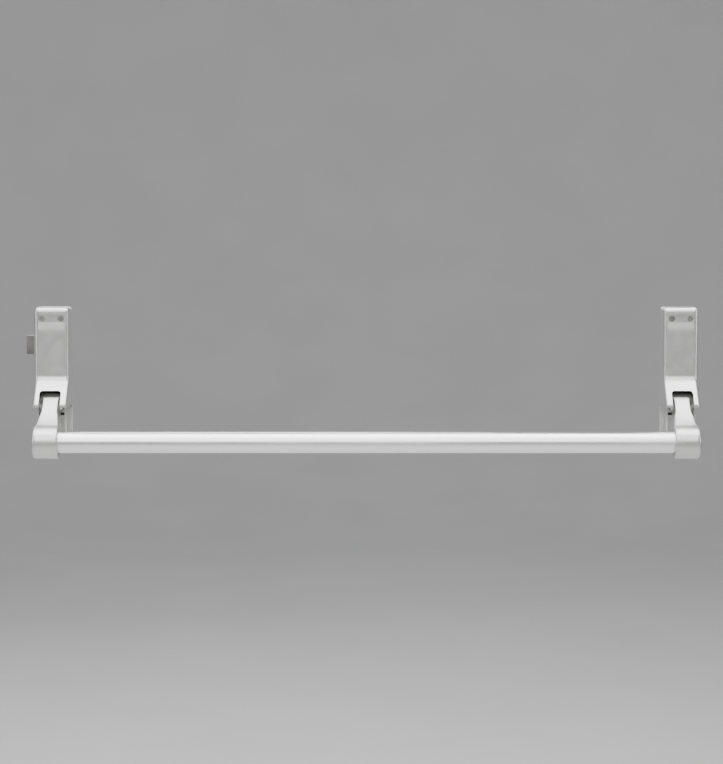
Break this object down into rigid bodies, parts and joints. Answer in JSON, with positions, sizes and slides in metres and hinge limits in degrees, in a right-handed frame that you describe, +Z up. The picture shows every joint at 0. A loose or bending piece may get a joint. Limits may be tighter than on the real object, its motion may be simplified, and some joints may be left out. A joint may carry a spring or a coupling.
{
  "type": "panic exit bar",
  "caption": "Cross-bar panic exit device: a latching unit and a plain unit on a door, joined by a round push bar on two swinging arms.",
  "frame": {"origin": "centre of the latch-side unit's four fixing holes, on the door's face", "axes": "+X along the bar towards the plain unit, +Y into the door, +Z up"},
  "size_m": [0.846, 0.11, 0.185],
  "materials": {
    "case_silver": "satin silver paint",
    "bar_aluminium": "satin anodised",
    "zinc_steel": "zinc plated",
    "bright_screw": "bright",
    "latch_steel": "brushed",
    "spring_steel": "drawn wire",
    "nylon": "matt",
    "rubber": "matt"
  },
  "bodies": {
    "units": {"active_base": "case_silver", "passive_base": "case_silver", "active_cover": "case_silver", "passive_cover": "case_silver", "active_cover_screws": "bright_screw", "passive_cover_screws": "bright_screw", "active_pivot_pin": "zinc_steel", "passive_pivot_pin": "zinc_steel", "active_pivot_clips": "zinc_steel", "passive_pivot_clips": "zinc_steel", "active_return_spring": "spring_steel", "passive_return_spring": "spring_steel", "active_keeper_screws": "zinc_steel", "passive_keeper_screws": "zinc_steel", "active_stop_pad": "rubber", "passive_stop_pad": "rubber", "active_slide_keeper": "zinc_steel", "passive_lower_keeper": "zinc_steel", "passive_upper_keeper": "zinc_steel", "latch_guide": "zinc_steel", "latch_guide_screws": "zinc_steel", "latch_springs": "spring_steel"},
    "push_bar": {"active_arm": "case_silver", "passive_arm": "case_silver", "active_arm_bushes": "nylon", "passive_arm_bushes": "nylon", "active_set_screw": "zinc_steel", "passive_set_screw": "zinc_steel", "push_bar_tube": "bar_aluminium"},
    "active_slide": {"active_drive_slide": "zinc_steel"},
    "passive_slide": {"passive_drive_slide": "zinc_steel"},
    "latch": {"latch_bolt": "latch_steel", "latch_drive_pin": "zinc_steel"}
  },
  "joints": [
    {"name": "bar_swing", "type": "hinge", "parent": "units", "child": "push_bar", "pos_m": [0, -0.032, -0.033], "axis": [1, 0, 0], "range_deg": [0, 30], "stiffness_Nm_per_rad": 4, "springref_deg": -34.38},
    {"name": "active_slide_travel", "type": "slide", "parent": "units", "child": "active_slide", "axis": [0, 0, 1], "range_m": [0, 0.01245], "deforming": ["active_return_spring"]},
    {"name": "passive_slide_travel", "type": "slide", "parent": "units", "child": "passive_slide", "axis": [0, 0, 1], "range_m": [0, 0.01245], "deforming": ["passive_return_spring"]},
    {"name": "latch_travel", "type": "slide", "parent": "units", "child": "latch", "axis": [1, 0, 0], "range_m": [0, 0.01203], "deforming": ["latch_springs"]}
  ],
  "couplings": [
    {"joint": "active_slide_travel", "follows": "bar_swing", "m_per_rad": 0.023727},
    {"joint": "passive_slide_travel", "follows": "bar_swing", "m_per_rad": 0.023727},
    {"joint": "latch_travel", "follows": "bar_swing", "m_per_rad": 0.022918}
  ]
}
